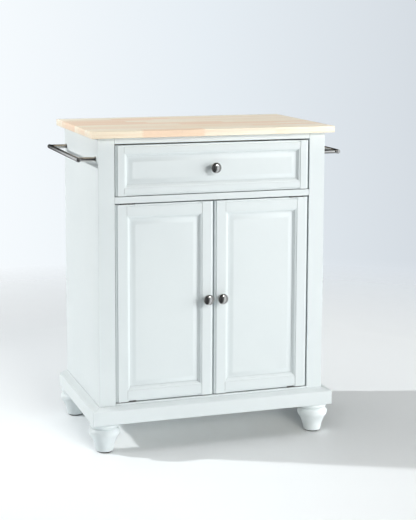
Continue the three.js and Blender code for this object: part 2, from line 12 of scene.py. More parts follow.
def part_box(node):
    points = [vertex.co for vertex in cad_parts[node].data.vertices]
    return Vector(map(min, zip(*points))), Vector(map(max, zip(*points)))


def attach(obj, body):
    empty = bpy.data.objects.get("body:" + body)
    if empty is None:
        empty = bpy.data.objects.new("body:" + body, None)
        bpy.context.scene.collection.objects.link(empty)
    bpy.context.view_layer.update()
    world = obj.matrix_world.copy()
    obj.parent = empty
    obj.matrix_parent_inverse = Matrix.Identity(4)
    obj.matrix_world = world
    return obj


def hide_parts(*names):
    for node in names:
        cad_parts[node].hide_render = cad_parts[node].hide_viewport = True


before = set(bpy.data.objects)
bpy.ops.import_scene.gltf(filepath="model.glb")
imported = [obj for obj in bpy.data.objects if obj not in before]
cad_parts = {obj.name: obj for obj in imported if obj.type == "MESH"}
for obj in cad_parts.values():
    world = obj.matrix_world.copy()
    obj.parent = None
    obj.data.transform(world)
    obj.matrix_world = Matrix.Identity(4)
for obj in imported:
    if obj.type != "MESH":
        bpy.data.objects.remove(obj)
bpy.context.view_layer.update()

MM = 0.001
SIDES = (("left", -1), ("right", 1))

# ---------------- driving sizes, in metres

FRAME_THICKNESS = 19 * MM
EDGE_LIP = 4.8 * MM           # outer edge of a door or drawer front: a lip, then a quarter round
EDGE_DEPTH = 3.2 * MM
EDGE_ROUND = 1.7 * MM
DOOR_STILE_FLAT = 32.5 * MM
DOOR_RAIL_FLAT = 31.5 * MM
DRAWER_STILE_FLAT = 24.2 * MM
DRAWER_RAIL_FLAT = 21 * MM
STICKING_WIDTH = 11 * MM      # moulded inner edge of a door or drawer frame
STICKING_DEPTH = 8.4 * MM
GROOVE_FRONT = 9.4 * MM
GROOVE_BACK = 14.6 * MM
GROOVE_DEPTH = 8 * MM
PANEL_LAND = 1 * MM
PANEL_BEVEL = 16 * MM
PANEL_SETBACK = 5.2 * MM
PANEL_TONGUE = 7 * MM
JOINT_GAP = 0.3 * MM          # between pieces that touch
RAIL_GAP = 0.9 * MM           # open line where a rail meets a stile
SUPPORT = 0.4 * MM            # a flat starts this far from the curve next to it
LEAST_RADIUS = 0.02 * MM      # stands for zero at the ends of a turned solid

DRAWER_DROP = 1.4 * MM        # the drawer front hangs this far below the middle of its opening
DOOR_TOP_TRIM = 0.8 * MM      # how far a door's edges move to show the photo's gaps
DOOR_FOOT_DROP = 0.5 * MM
LATCH_TRIM = 0.8 * MM
HINGE_TRIM = {"left": -1.2 * MM, "right": 0.4 * MM}  # below zero, the edge stands out

MOULDING_REACH = 24 * MM
MOULDING_FLAT = 40 * MM
MOULDING_HEIGHT = 47.5 * MM

PLY_PAIR = 2.9 * MM           # thickness of a light and a dark ply together
STAVE_COUNT = 11
STAVE_SEED = 17633
PIECE_LENGTHS = (0.14, 0.33)  # shortest and longest piece in a stave
LAST_PIECE = 0.38             # a rest no longer than this stays one piece
FINGER_LENGTH = 9 * MM
FINGER_STEPS = 8
GLUE_LINE = 0.12 * MM
CREASE_SHADE_REACH = 5 * MM         # painted shade: creases narrower than this are painted darker
TOP_EASE = 1.5 * MM

# ---------------- material helpers


class Tree:
    """Adds nodes to one node tree and links them."""

    def __init__(self, tree):
        self.tree = tree

    def feed(self, socket, value):
        """Links an output to a socket, or sets the socket's own value."""
        if isinstance(value, bpy.types.NodeSocket):
            self.tree.links.new(value, socket)
        else:
            socket.default_value = value

    def add(self, kind, inputs=None, **settings):
        """A new node with its settings, and its inputs by name or by number."""
        node = self.tree.nodes.new(kind)
        for key, value in settings.items():
            setattr(node, key, value)
        for key, value in (inputs or {}).items():
            self.feed(node.inputs[key], value)
        return node

    def along(self, vector, axis):
        """How far a vector reaches along an axis."""
        node = self.add("ShaderNodeVectorMath", {0: vector, 1: axis}, operation="DOT_PRODUCT")
        return node.outputs["Value"]

    def component(self, vector, index):
        return self.add("ShaderNodeSeparateXYZ", {0: vector}).outputs[index]

    def math(self, operation, a, b=0.0):
        return self.add("ShaderNodeMath", {0: a, 1: b}, operation=operation).outputs[0]

    def spread(self, value, low, high, to_low=0.0, to_high=1.0):
        """Maps low..high of a value onto to_low..to_high, clamped."""
        limits = {"From Min": low, "From Max": high, "To Min": to_low, "To Max": to_high}
        return self.add("ShaderNodeMapRange", {"Value": value, **limits}).outputs["Result"]

    def ramp(self, value, stops):
        node = self.add("ShaderNodeValToRGB", {"Fac": value})
        elements = node.color_ramp.elements
        while len(elements) < len(stops):
            elements.new(0.5)
        for element, (position, colour) in zip(elements, stops):
            element.position = position
            element.color = (*colour, 1.0)
        return node.outputs["Color"]

    def blend(self, factor, a, b):
        """A colour between two: a where the factor is 0, b where it is 1."""
        node = self.add("ShaderNodeMix", {"Factor": factor}, data_type="RGBA")
        colour_inputs = [s for s in node.inputs if s.type == "RGBA"]
        for socket, value in zip(colour_inputs, (a, b)):
            self.feed(socket, value if isinstance(value, bpy.types.NodeSocket) else (*value, 1.0))
        return [s for s in node.outputs if s.type == "RGBA"][0]


class Nodes(Tree):
    """Builds one node material round its Principled BSDF."""

    def __init__(self, name, **uniform):
        self.material = bpy.data.materials.new(name)
        self.material.use_nodes = True
        super().__init__(self.material.node_tree)
        self.shader = self.tree.nodes["Principled BSDF"]
        for socket, value in uniform.items():
            self.shader.inputs[socket.replace("_", " ")].default_value = value
        self.coords = self.add("ShaderNodeTexCoord").outputs["Object"]

    def stretched(self, scale, coords=None):
        node = self.add("ShaderNodeMapping", {"Vector": coords or self.coords, "Scale": scale})
        return node.outputs["Vector"]

    def noise(self, scale, detail=2.0, roughness=0.5, coords=None, distortion=0.0):
        return self.add("ShaderNodeTexNoise", {
            "Vector": coords or self.coords, "Scale": scale, "Detail": detail,
            "Roughness": roughness, "Distortion": distortion}).outputs["Fac"]

    def bump(self, height, distance, strength, below=None):
        """A shading normal from a height, on top of another bump if there is one below."""
        inputs = {"Height": height, "Distance": distance, "Strength": strength}
        if below is not None:
            inputs["Normal"] = below
        return self.add("ShaderNodeBump", inputs).outputs["Normal"]

    def surface(self, colour, roughness, normal):
        for name, value in (("Base Color", colour), ("Roughness", roughness), ("Normal", normal)):
            self.feed(self.shader.inputs[name], value)
        return self.material


# ---------------- materials


def white_paint():
    """Sprayed satin paint: a trace of orange peel, uneven tone and gloss, and painted shade in
    creases.
    """
    n = Nodes("satin_white_paint", IOR=1.5)
    mottle = n.noise(5, detail=3)
    clean = n.ramp(mottle, [(0.3, (0.775, 0.836, 0.848)), (0.7, (0.798, 0.858, 0.868))])
    # painted shade: the more enclosed a crease or gap is, the more its colour is pulled towards a
    # dark grey
    openness = n.add("ShaderNodeAmbientOcclusion", {"Distance": CREASE_SHADE_REACH}, samples=4)
    crease = n.spread(openness.outputs["AO"], 0.12, 0.62, 0.75, 0.0)
    colour = n.blend(crease, clean, (0.230, 0.250, 0.250))
    gloss = n.spread(n.noise(90, detail=3), 0.3, 0.7, 0.36, 0.46)
    peel = n.bump(n.noise(620, detail=1), 0.05 * MM, 0.5)
    sanded = n.bump(n.noise(60, detail=4), 0.10 * MM, 0.35, below=peel)
    return n.surface(colour, gloss, sanded)


def block_wood():
    """Rubberwood staves: each piece has its own tone and grain, with short dark pores."""
    n = Nodes("block_wood", IOR=1.45)
    tone = n.add("ShaderNodeAttribute", attribute_name="tone").outputs["Fac"]
    strides = [n.math("MULTIPLY", tone, stride) for stride in (9.0, 5.0, 3.0)]
    offset = n.add("ShaderNodeCombineXYZ", dict(enumerate(strides))).outputs["Vector"]
    shifted = n.add("ShaderNodeVectorMath", {0: n.coords, 1: offset}, operation="ADD")
    place = shifted.outputs["Vector"]
    bands = n.noise(1.0, 3, 0.55, n.stretched((2.2, 62, 62), place), distortion=0.4)
    streaks = n.noise(1.0, 2, 0.5, n.stretched((5, 230, 230), place), distortion=0.2)
    fibre = n.noise(1.0, 4, 0.6, n.stretched((26, 900, 900), place))
    pores = n.noise(1.0, 1, 0.5, n.stretched((130, 2300, 2300), place))
    base = n.ramp(tone, [
        (0.00, (0.895, 0.685, 0.510)),
        (0.22, (0.908, 0.752, 0.580)),
        (0.50, (0.928, 0.830, 0.655)),
        (0.75, (0.945, 0.880, 0.705)),
        (1.00, (0.955, 0.920, 0.785)),
    ])
    banded = n.blend(n.spread(bands, 0.40, 0.70, 0.0, 0.50), base, (0.860, 0.640, 0.470))
    streaked = n.blend(n.spread(streaks, 0.50, 0.72, 0.0, 0.45), banded, (0.820, 0.590, 0.400))
    fibred = n.blend(n.spread(fibre, 0.38, 0.75, 0.0, 0.22), streaked, (0.740, 0.570, 0.420))
    pored = n.blend(n.spread(pores, 0.66, 0.74, 0.0, 0.45), fibred, (0.480, 0.340, 0.230))
    gloss = n.spread(bands, 0.3, 0.7, 0.32, 0.42)
    sunk = n.bump(n.math("MULTIPLY", pores, -1.0), 0.06 * MM, 0.5)
    return n.surface(pored, gloss, n.bump(fibre, 0.04 * MM, 0.5, below=sunk))


def drawer_ply(name, grain_axis, ply_axis):
    """Clear-lacquered birch ply: long face grain, and plies across the given axis on its edges."""
    n = Nodes(name, IOR=1.48)
    grain = [420.0, 420.0, 420.0]
    grain[grain_axis] = 12.0
    figure = [36.0, 36.0, 36.0]
    figure[grain_axis] = 2.5
    fibre = n.noise(1.0, 4, 0.6, n.stretched(grain))
    bands = n.noise(1.0, 2, 0.5, n.stretched(figure), distortion=0.6)
    base = n.ramp(bands, [(0.3, (0.660, 0.490, 0.310)), (0.7, (0.760, 0.600, 0.400))])
    faced = n.blend(n.spread(fibre, 0.35, 0.75, 0.0, 0.25), base, (0.470, 0.320, 0.190))
    across = n.component(n.coords, ply_axis)
    plies = n.math("FRACT", n.math("MULTIPLY", across, 1 / PLY_PAIR))
    dark_ply = n.spread(plies, 0.48, 0.52, 0.0, 0.45)
    edges = n.blend(dark_ply, faced, (0.330, 0.210, 0.120))
    facing = n.component(n.add("ShaderNodeNewGeometry").outputs["Normal"], ply_axis)
    on_face = n.math("GREATER_THAN", n.math("ABSOLUTE", facing), 0.5)
    colour = n.blend(on_face, edges, faced)
    return n.surface(colour, n.spread(fibre, 0.3, 0.7, 0.34, 0.46), n.bump(fibre, 0.03 * MM, 0.4))


def satin_nickel():
    """Brushed and plated: fine streaks in gloss and a soft, slightly warm grey."""
    n = Nodes("satin_nickel", Metallic=1.0, Anisotropic=0.3)
    streaks = n.noise(1.0, 3, 0.6, n.stretched((2200, 60, 2200)))
    cloud = n.noise(70, detail=2)
    colour = n.ramp(cloud, [(0.3, (0.540, 0.532, 0.520)), (0.7, (0.600, 0.590, 0.575))])
    return n.surface(colour, n.spread(streaks, 0.25, 0.75, 0.13, 0.24),
                     n.bump(streaks, 0.01 * MM, 0.35))


def zinc_steel():
    """Zinc-plated pressed steel, with a faint spangle."""
    n = Nodes("zinc_steel", Metallic=1.0)
    cells = n.add("ShaderNodeTexVoronoi", {"Vector": n.coords, "Scale": 380}).outputs["Color"]
    spangle = n.spread(cells, 0.0, 1.0)
    colour = n.ramp(spangle, [(0.0, (0.500, 0.515, 0.530)), (1.0, (0.640, 0.650, 0.665))])
    gloss = n.spread(n.noise(240, detail=3), 0.3, 0.7, 0.30, 0.48)
    return n.surface(colour, gloss, n.bump(n.noise(500), 0.02 * MM, 0.4))


def hinge_steel():
    """Dark plated steel with small rubbed patches."""
    n = Nodes("hinge_steel", Metallic=1.0)
    rub = n.noise(260, detail=4)
    colour = n.ramp(rub, [(0.45, (0.180, 0.172, 0.160)), (0.75, (0.330, 0.315, 0.295))])
    return n.surface(colour, n.spread(rub, 0.3, 0.7, 0.50, 0.34), n.bump(rub, 0.02 * MM, 0.5))


def moulded_plastic(name, dark, light, rough_low, rough_high):
    """Plain moulded plastic with a spark-eroded texture."""
    n = Nodes(name, IOR=1.5)
    colour = n.ramp(n.noise(40, detail=2), [(0.3, dark), (0.7, light)])
    grain = n.noise(1500, detail=2)
    gloss = n.spread(grain, 0.3, 0.7, rough_low, rough_high)
    return n.surface(colour, gloss, n.bump(grain, 0.03 * MM, 0.5))


PAINT = white_paint()
WOOD = block_wood()
PLY_SIDE = drawer_ply("drawer_ply_side", grain_axis=1, ply_axis=0)
PLY_BACK = drawer_ply("drawer_ply_back", grain_axis=0, ply_axis=1)
PLY_FLOOR = drawer_ply("drawer_ply_floor", grain_axis=1, ply_axis=2)
NICKEL = satin_nickel()
ZINC = zinc_steel()
DARK_STEEL = hinge_steel()
NYLON = moulded_plastic("roller_nylon", (0.76, 0.76, 0.71), (0.82, 0.82, 0.78), 0.30, 0.42)
BROWN = moulded_plastic("catch_plastic", (0.060, 0.035, 0.022), (0.085, 0.052, 0.034), 0.40, 0.55)
GLIDE = moulded_plastic("glide_plastic", (0.030, 0.028, 0.026), (0.050, 0.047, 0.044), 0.50, 0.65)
RAW_PINE = drawer_ply("raw_pine", grain_axis=0, ply_axis=2)

# ---------------- mesh helpers


def rounded_step(start, end, steps):
    """Points of a quarter of an ellipse that leaves start steeply and meets end level."""
    (u0, v0), (u1, v1) = start, end
    angles = [math.pi / 2 * i / steps for i in range(steps + 1)]
    return [(u0 + (u1 - u0) * (1 - math.cos(a)), v0 + (v1 - v0) * math.sin(a)) for a in angles]


def soft_slope(start, end, steps):
    """Points of an S-shaped slope that is level at both ends."""
    (u0, v0), (u1, v1) = start, end
    shares = [i / steps for i in range(steps + 1)]
    return [(u0 + (u1 - u0) * t, v0 + (v1 - v0) * t * t * (3 - 2 * t)) for t in shares]


def in_mm(*points):
    """Points given in millimetres."""
    return [(u * MM, v * MM) for u, v in points]


def middle(low, high):
    """The point halfway between two corners of a box."""
    return [(a + b) / 2 for a, b in zip(low, high)]


def inner_side(low, high, sign):
    """The x of the side of a box that faces the middle of the object."""
    return low.x if sign > 0 else high.x


def spline(points, steps):
    """A smooth curve through the points, with the given number of steps between each two."""
    padded = [points[0], *points, points[-1]]
    curve = []
    for a, b, c, d in zip(padded, padded[1:], padded[2:], padded[3:]):
        for i in range(steps):
            t = i / steps
            curve.append(tuple(
                0.5 * (2 * q + (r - p) * t + (2 * p - 5 * q + 4 * r - s) * t * t
                       + (3 * q - p - 3 * r + s) * t ** 3)
                for p, q, r, s in zip(a, b, c, d)))
    return [*curve, points[-1]]


def skin(rings, bm=None):
    """A closed solid through a stack of rings of equally many points, in bm or a new bmesh."""
    bm = bm or bmesh.new()
    loops = [[bm.verts.new(point) for point in ring] for ring in rings]
    count = len(loops[0])
    for below, above in zip(loops, loops[1:]):
        for i in range(count):
            j = (i + 1) % count
            bm.faces.new((below[i], below[j], above[j], above[i]))
    bm.faces.new(reversed(loops[0]))
    bm.faces.new(loops[-1])
    return bm


def box(low, high, bm=None):
    """A box between two corners."""
    (x0, y0, z0), (x1, y1, z1) = low, high
    return skin([[(x0, y0, z), (x1, y0, z), (x1, y1, z), (x0, y1, z)] for z in (z0, z1)], bm)


def turned(profile, segments, place=Matrix.Identity(4), bm=None):
    """A solid of revolution. Profile points are (radius, height), from one end to the other."""
    angles = [2 * math.pi * i / segments for i in range(segments)]
    rings = []
    for radius, height in profile:
        r = max(radius, LEAST_RADIUS)
        rings.append([place @ Vector((r * math.cos(a), r * math.sin(a), height)) for a in angles])
    return skin(rings, bm)


def hollow_turned(outline, segments, place):
    """A solid of revolution with a bore. The outline closes on itself."""
    bm = bmesh.new()
    rings = []
    for i in range(segments):
        a = 2 * math.pi * i / segments
        rings.append([bm.verts.new(place @ Vector((r * math.cos(a), r * math.sin(a), h)))
                      for r, h in outline])
    count = len(outline)
    for i in range(segments):
        here, there = rings[i], rings[(i + 1) % segments]
        for j in range(count):
            k = (j + 1) % count
            bm.faces.new((here[j], here[k], there[k], there[j]))
    return bm


def frame_of(origin, direction):
    """A placement at the given origin, with +Z turned to the direction."""
    turn = Vector(direction).to_track_quat("Z", "Y").to_matrix().to_4x4()
    return Matrix.Translation(origin) @ turn


def make_mesh(name, bm):
    bmesh.ops.recalc_face_normals(bm, faces=bm.faces)
    mesh = bpy.data.meshes.new(name)
    bm.to_mesh(mesh)
    bm.free()
    return mesh


def soften(obj, width):
    """Eases an object's hard edges by a modifier."""
    bevel = obj.modifiers.new("eased_edges", "BEVEL")
    bevel.width = width
    bevel.segments = 2
    bevel.limit_method = "ANGLE"
    bevel.angle_limit = math.radians(30)
    bevel.harden_normals = True


def add_piece(name, bm, material, body, replaced=(), ease=None, smooth=35):
    """Turns a bmesh into a piece of the object that rides on a body."""
    mesh = make_mesh(name, bm)
    mesh.shade_smooth()
    mesh.set_sharp_from_angle(angle=math.radians(smooth))
    mesh.materials.append(material)
    obj = bpy.data.objects.new(name, mesh)
    bpy.context.scene.collection.objects.link(obj)
    if ease:
        soften(obj, ease)
    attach(obj, body)
    if replaced:
        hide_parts(*replaced)
    return obj


def cut(bm, cutter):
    """The first solid less the second, as a new bmesh."""
    objects = []
    for name, source in (("cut_target", bm), ("cut_tool", cutter)):
        obj = bpy.data.objects.new(name, make_mesh(name, source))
        bpy.context.scene.collection.objects.link(obj)
        objects.append(obj)
    target, tool = objects
    boolean = target.modifiers.new("cut", "BOOLEAN")
    boolean.operation = "DIFFERENCE"
    boolean.solver = "EXACT"
    boolean.object = tool
    evaluated = target.evaluated_get(bpy.context.evaluated_depsgraph_get())
    result = bmesh.new()
    result.from_mesh(evaluated.to_mesh())
    evaluated.to_mesh_clear()
    for obj in objects:
        mesh = obj.data
        bpy.data.objects.remove(obj)
        bpy.data.meshes.remove(mesh)
    return result


# ---------------- CAD nodes that stay


def keep_node(name, material, ease=0.8 * MM):
    """Gives a CAD node its material and eased edges."""
    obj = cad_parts[name]
    obj.data.materials.clear()
    obj.data.materials.append(material)
    weld = obj.modifiers.new("weld", "WELD")
    weld.merge_threshold = 0.01 * MM
    soften(obj, ease)


for node in ("back_panel", "bottom_panel", "adjustable_shelf", "rear_top_stretcher",
             "face_stile_left", "face_stile_right",
             "face_top_rail", "face_middle_rail", "face_bottom_rail"):
    keep_node(node, PAINT)
keep_node("magnetic_catch", BROWN, ease=0.6 * MM)
keep_node("drawer_back", PLY_BACK, ease=1 * MM)
keep_node("drawer_bottom", PLY_FLOOR, ease=0.3 * MM)
for side, _ in SIDES:
    keep_node(f"drawer_side_{side}", PLY_SIDE, ease=1 * MM)
    keep_node(f"slide_channel_{side}", ZINC, ease=0.25 * MM)
    keep_node(f"slide_runner_{side}", ZINC, ease=0.25 * MM)
    for level in ("upper", "lower"):
        for leaf in ("case", "door"):
            keep_node(f"hinge_{leaf}_leaf_{side}_{level}", DARK_STEEL,
                      ease=0.25 * MM)

# ---------------- wood top


def zigzag(x, levels):
    """A finger joint's line on the edge of a stave, from its bottom to its top."""
    return [(x + FINGER_LENGTH / 2 * (-1) ** i, z) for i, z in enumerate(levels)]


def stave_ends(rng, x_low, x_high):
    """Places where a stave's pieces join, at random lengths."""
    ends = [x_low]
    while x_high - ends[-1] > LAST_PIECE:
        ends.append(ends[-1] + rng.uniform(*PIECE_LENGTHS))
    return [*ends, x_high]


def build_top():
    """Finger-jointed pieces glued into staves, and the staves glued side by side."""
    low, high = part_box("butcher_block_top")
    rng = random.Random(STAVE_SEED)
    levels = [low.z + (high.z - low.z) * i / FINGER_STEPS for i in range(FINGER_STEPS + 1)]
    bm = bmesh.new()
    tones = bm.faces.layers.float.new("tone")
    half_glue = GLUE_LINE / 2
    for row in range(STAVE_COUNT):
        y0 = low.y + (high.y - low.y) * row / STAVE_COUNT + (half_glue if row else 0)
        y1 = low.y + (high.y - low.y) * (row + 1) / STAVE_COUNT
        y1 -= half_glue if row + 1 < STAVE_COUNT else 0
        ends = stave_ends(rng, low.x, high.x)
        for x0, x1 in zip(ends, ends[1:]):
            left = [(x0, low.z), (x0, high.z)] if x0 == low.x else [
                (x + half_glue, z) for x, z in zigzag(x0, levels)]
            right = [(x1, low.z), (x1, high.z)] if x1 == high.x else [
                (x - half_glue, z) for x, z in zigzag(x1, levels)]
            outline = [*right, *reversed(left)]
            before = set(bm.faces)
            skin([[(x, y, z) for x, z in outline] for y in (y0, y1)], bm)
            tone = rng.random()
            for face in set(bm.faces) - before:
                face[tones] = tone
    planes = [(0, low.x), (0, high.x), (1, low.y), (1, high.y), (2, low.z), (2, high.z)]

    def outer_planes(edge):
        return [axis for axis, place in planes
                if all(abs(v.co[axis] - place) < 1e-6 for v in edge.verts)]

    bmesh.ops.recalc_face_normals(bm, faces=bm.faces)
    outer = [edge for edge in bm.edges if len(outer_planes(edge)) == 2]
    bmesh.ops.bevel(bm, geom=outer, offset=TOP_EASE, segments=3, profile=0.5, affect="EDGES",
                    clamp_overlap=True)
    add_piece("butcher_block_staves", bm, WOOD, "cabinet", ["butcher_block_top"])


build_top()

# ---------------- side panels and shelf pins

PIN_DIAMETER = 5 * MM
PIN_SPACING = 32 * MM
PIN_ROWS = range(-3, 4)
PIN_INSET = 36 * MM
HOLE_DEPTH = 10 * MM
HOLE_PAST = 5 * MM            # how far the drill starts outside the panel's inner face
shelf_low, shelf_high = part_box("adjustable_shelf")
pin_z = shelf_low.z - PIN_DIAMETER / 2
pin_places = (shelf_low.y + PIN_INSET, shelf_high.y - PIN_INSET)


def build_side_panel(side, sign):
    """A side panel with its columns of shelf-pin holes."""
    node = f"side_panel_{side}"
    low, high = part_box(node)
    inner_x = inner_side(low, high, sign)
    holes = bmesh.new()
    radius = PIN_DIAMETER / 2 + 0.1 * MM
    for y in pin_places:
        for row in PIN_ROWS:
            origin = Vector((inner_x - sign * HOLE_PAST, y, pin_z + row * PIN_SPACING))
            turned([(radius, 0), (radius, HOLE_PAST + HOLE_DEPTH)], 20,
                   frame_of(origin, (sign, 0, 0)), holes)
    bm = cut(box(low, high), holes)
    add_piece(f"{node}_drilled", bm, PAINT, "cabinet", [node], ease=0.8 * MM)


def build_shelf_pins(side, sign):
    """Two pins with collars that hold one end of the shelf."""
    inner_x = inner_side(*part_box(f"side_panel_{side}"), sign)
    profile = in_mm((0, -9.5), (2, -9.5), (2.4, -9), (2.4, 0), (3.5, 0.1), (3.5, 1), (2.45, 1.2),
                    (2.45, 9), (1.9, 9.6), (0, 9.7))
    bm = bmesh.new()
    for y in pin_places:
        turned(profile, 24, frame_of((inner_x, y, pin_z), (-sign, 0, 0)), bm)
    add_piece(f"shelf_pins_{side}", bm, ZINC, "cabinet")


for side, sign in SIDES:
    build_side_panel(side, sign)
    build_shelf_pins(side, sign)

# ---------------- base moulding


def moulding_profile():
    """Points (reach out, height) of the moulding: a flat board under a small ogee."""
    reach, flat, height = MOULDING_REACH, MOULDING_FLAT, MOULDING_HEIGHT
    ease = 1.2 * MM
    return [
        (0, 0),
        *rounded_step((reach - ease, 0), (reach, ease), 3),
        (reach, flat - ease),
        *rounded_step((reach, flat - ease), (reach - ease, flat), 3)[1:],
        (reach - 4 * MM, flat + 0.3 * MM),
        *soft_slope((reach - 4.6 * MM, flat + 1.2 * MM), (4.4 * MM, height - 1.4 * MM), 10),
        (4 * MM, height - 0.8 * MM),
        (3.2 * MM, height),
        (0, height),
    ]


def build_mouldings():
    """Front and side lengths, mitred at the front corners."""
    stile_low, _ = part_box("face_stile_left")
    _, panel_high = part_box("side_panel_right")
    front_y = stile_low.y - JOINT_GAP
    side_x = panel_high.x + JOINT_GAP
    base_z = stile_low.z
    mitre_gap = 0.12 * MM
    profile = moulding_profile()
    bm = skin([[(end * (side_x + out - mitre_gap), front_y - out, base_z + up)
                for out, up in profile] for end in (-1, 1)])
    add_piece("base_moulding_front_milled", bm, PAINT, "cabinet",
              ["base_moulding_front"], smooth=40)
    for side, sign in SIDES:
        bm = skin([
            [(sign * (side_x + out), front_y - out + mitre_gap, base_z + up) for out, up in profile],
            [(sign * (side_x + out), panel_high.y, base_z + up) for out, up in profile],
        ])
        add_piece(f"base_moulding_{side}_milled", bm, PAINT, "cabinet",
                  [f"base_moulding_{side}"], smooth=40)


build_mouldings()

# ---------------- turned feet

GLIDE_HEIGHT = 3.5 * MM
GLIDE_RADIUS = 22.3 * MM


def foot_profile(height):
    """A tapered shaft that swells to a ball, a deep crease, a cove and a ring, from the floor up."""
    shaft = spline(in_mm((25, 5), (26, 9), (27.6, 18), (30.6, 28), (35, 38), (40.2, 47)), 4)
    ball = spline(in_mm((40.2, 47), (43.2, 53), (44, 59), (42.6, 65), (38.6, 69.6), (36.6, 71)), 4)
    cove = spline(in_mm((36.6, 71), (36.9, 72.6), (39.2, 74.4), (41.2, 76.2)), 4)
    ring = spline(in_mm((41.2, 76.2), (42.3, 78.6), (42.3, 82), (41, 84.6)), 4)
    return [(0, GLIDE_HEIGHT), (23.6 * MM, GLIDE_HEIGHT), (24.6 * MM, 4.2 * MM), *shaft, *ball[1:],
            *cove[1:], *ring[1:], (39.8 * MM, height), (0, height)]


def build_foot(end, side):
    node = f"foot_{end}_{side}"
    low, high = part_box(node)
    x, y, _ = middle(low, high)
    place = Matrix.Translation((x, y, low.z))
    bm = turned(foot_profile(high.z - low.z), 96, place)
    add_piece(f"{node}_turned", bm, PAINT, "cabinet", [node], smooth=40)
    rim = rounded_step((GLIDE_RADIUS - 1.8 * MM, 0), (GLIDE_RADIUS, 1.4 * MM), 4)
    top = GLIDE_HEIGHT - 0.05 * MM
    bm = turned([(0, 0), *rim, (GLIDE_RADIUS, top), (0, top)], 64, place)
    add_piece(f"foot_glide_{end}_{side}", bm, GLIDE, "cabinet")


for side, _ in SIDES:
    for end in ("front", "rear"):
        build_foot(end, side)

# ---------------- towel bars


def build_towel_bar(side, sign):
    """A round bar with eased ends, on two posts."""
    node = f"towel_bar_{side}"
    low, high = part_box(node)
    radius = (high.z - low.z) / 2
    length = high.y - low.y
    ease = 1 * MM
    rim = [(radius - ease + v, u) for u, v in rounded_step((0, 0), (ease, ease), 6)]
    profile = [(0, 0), *rim]
    far_end = [(r, length - h) for r, h in reversed(profile)]
    axis_x, _, axis_z = middle(low, high)
    bm = turned([*profile, *far_end], 64, frame_of((axis_x, low.y, axis_z), (0, 1, 0)))
    add_piece(f"{node}_polished", bm, NICKEL, "cabinet", [node], smooth=40)
    for end in ("front", "rear"):
        build_towel_post(f"towel_post_{end}_{side}", sign, axis_x, radius)


def build_towel_post(node, sign, bar_x, bar_radius):
    """A post with a small flared flange at the panel and a saddle that takes the bar."""
    low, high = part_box(node)
    _, y, z = middle(low, high)
    panel_x = inner_side(low, high, sign)
    reach = abs(bar_x - panel_x)
    shaft = 6 * MM
    flange = spline(in_mm((7.4, 0.8), (7.0, 1.6), (6.4, 2.4), (6, 4)), 4)
    post = turned([(0, 0), (7.4 * MM, 0), *flange, (shaft, reach), (0, reach)], 48,
                  frame_of((panel_x, y, z), (sign, 0, 0)))
    clear = bar_radius + 0.05 * MM
    half = 20 * MM
    saddle = turned([(clear, -half), (clear, half)], 64, frame_of((bar_x, y, z), (0, 1, 0)))
    add_piece(f"{node}_spun", cut(post, saddle), NICKEL, "cabinet", [node],
              smooth=40)


for side, sign in SIDES:
    build_towel_bar(side, sign)

# ---------------- knobs


def build_knob(node, body):
    """A round base, a waisted neck and a domed head."""
    low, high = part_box(node)
    x, _, z = middle(low, high)
    height = high.y - low.y
    radius = (high.x - low.x) / 2
    base = spline(in_mm((8.2, 0), (9, 0.7), (8.6, 1.6), (7.2, 3), (6, 5.2), (5.7, 8), (6.4, 11),
                        (8.6, 13.6), (12, 15.6)), 4)
    rim = spline([*in_mm((12, 15.6), (14.6, 17.2)), (radius, 19.2 * MM),
                  *in_mm((14.9, 21.2), (13.2, 22.9)), (10 * MM, height - 1.3 * MM),
                  (6 * MM, height - 0.4 * MM), (0, height)], 5)
    bm = turned([(0, 0), *base, *rim[1:]], 72)
    obj = add_piece(f"{node}_spun", bm, NICKEL, body, [node], smooth=50)
    obj.matrix_world = frame_of((x, high.y, z), (0, -1, 0))


build_knob("drawer_knob", "drawer")
for side, _ in SIDES:
    build_knob(f"{side}_door_knob", f"{side}_door")

# ---------------- framed fronts


def frame_profile(flat):
    """Points (distance in from the outer edge, depth behind the face) of a stile or a rail.

    From the back: a lip and a quarter round, the flat, an ovolo, a fillet, a cove and the groove.
    """
    inner = flat + STICKING_WIDTH
    back_ease = 0.8 * MM
    lip = rounded_step((0, EDGE_DEPTH + 1.2 * MM), (0.9 * MM, EDGE_DEPTH), 4)
    crown = rounded_step((EDGE_LIP, EDGE_DEPTH - 0.2 * MM), (EDGE_LIP + EDGE_ROUND, 0), 7)
    ovolo = rounded_step((inner - 4.6 * MM, 4.4 * MM), (flat + 0.8 * MM, 2.0 * MM), 8)
    return [
        (back_ease, FRAME_THICKNESS),
        (0, FRAME_THICKNESS - back_ease),
        *lip,
        (EDGE_LIP - SUPPORT, EDGE_DEPTH),
        *crown,
        (EDGE_LIP + EDGE_ROUND + SUPPORT, 0),
        (flat - SUPPORT, 0),
        (flat, 0),
        (flat + 0.10 * MM, 1.9 * MM),
        *reversed(ovolo),
        (inner - 4.5 * MM, 6.2 * MM),
        *soft_slope((inner - 4.0 * MM, 6.3 * MM), (inner - 1.2 * MM, STICKING_DEPTH - 0.9 * MM), 5),
        (inner - 1.0 * MM, STICKING_DEPTH + 0.5 * MM),
        (inner, STICKING_DEPTH + 0.3 * MM),
        (inner, GROOVE_FRONT),
        (inner - GROOVE_DEPTH, GROOVE_FRONT),
        (inner - GROOVE_DEPTH, GROOVE_BACK),
        (inner, GROOVE_BACK),
        (inner, FRAME_THICKNESS - back_ease),
        (inner - back_ease, FRAME_THICKNESS),
    ]


def stile(centre, half_width, half_height, flat, edge):
    """A full-height stile at the left or right edge of a front."""
    profile = frame_profile(flat)
    return skin([[(centre.x + edge * (half_width - inward), centre.y + depth, centre.z + end)
                  for inward, depth in profile] for end in (-half_height, half_height)])


